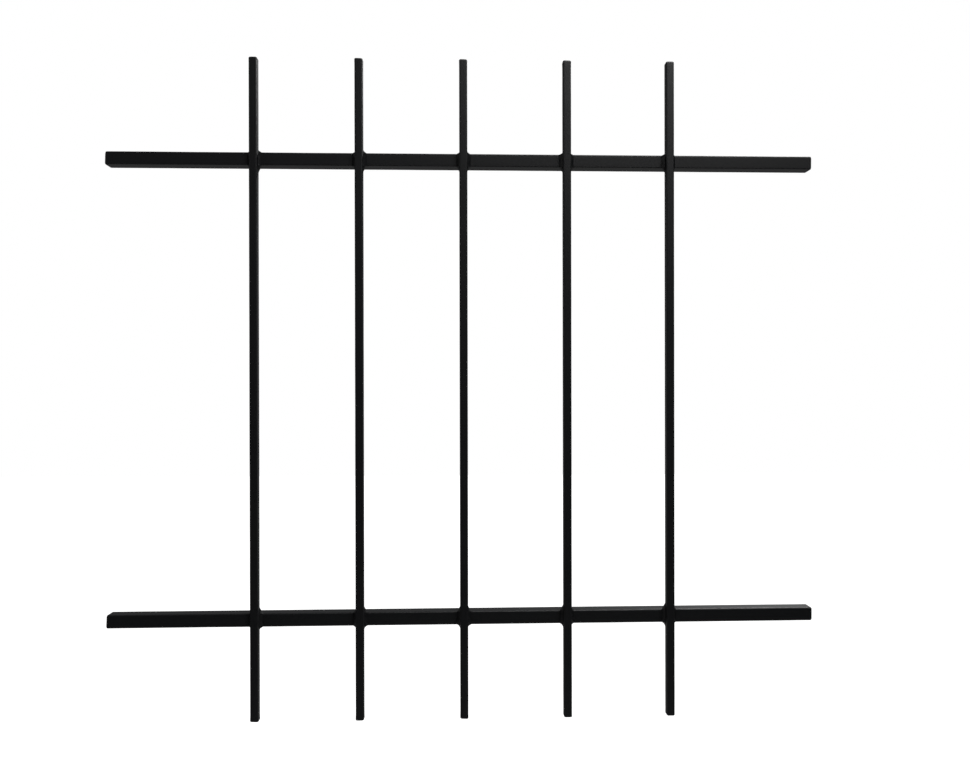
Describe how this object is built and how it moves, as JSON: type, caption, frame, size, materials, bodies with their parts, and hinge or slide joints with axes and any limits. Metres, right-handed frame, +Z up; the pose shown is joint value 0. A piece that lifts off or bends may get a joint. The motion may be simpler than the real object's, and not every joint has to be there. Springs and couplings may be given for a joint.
{
  "type": "window security grille",
  "caption": "Flat welded window grille: slim upright square bars lapped on the front of heavier cross rails, whose plain tails build into the wall.",
  "frame": {"origin": "the middle of the grille's own box, halfway between the rails and between the front of the bars and the backs of the rails", "axes": "+X along the rails, to the right seen from the street; +Y from the street towards the wall; +Z up the bars"},
  "size_m": [0.87, 0.0264, 0.805],
  "materials": {
    "coated_rail": "satin black powder coat on square steel bar",
    "coated_bar": "satin black powder coat on square steel bar",
    "coated_weld": "satin black powder coat over a rippled weld bead"
  },
  "bodies": {
    "root": {"top_rail": "coated_rail", "bottom_rail": "coated_rail", "bar_1": "coated_bar", "bar_2": "coated_bar", "bar_3": "coated_bar", "bar_4": "coated_bar", "bar_5": "coated_bar", "weld_top_1_left": "coated_weld", "weld_top_1_right": "coated_weld", "weld_top_2_left": "coated_weld", "weld_top_2_right": "coated_weld", "weld_top_3_left": "coated_weld", "weld_top_3_right": "coated_weld", "weld_top_4_left": "coated_weld", "weld_top_4_right": "coated_weld", "weld_top_5_left": "coated_weld", "weld_top_5_right": "coated_weld", "weld_bottom_1_left": "coated_weld", "weld_bottom_1_right": "coated_weld", "weld_bottom_2_left": "coated_weld", "weld_bottom_2_right": "coated_weld", "weld_bottom_3_left": "coated_weld", "weld_bottom_3_right": "coated_weld", "weld_bottom_4_left": "coated_weld", "weld_bottom_4_right": "coated_weld", "weld_bottom_5_left": "coated_weld", "weld_bottom_5_right": "coated_weld"}
  },
  "joints": []
}
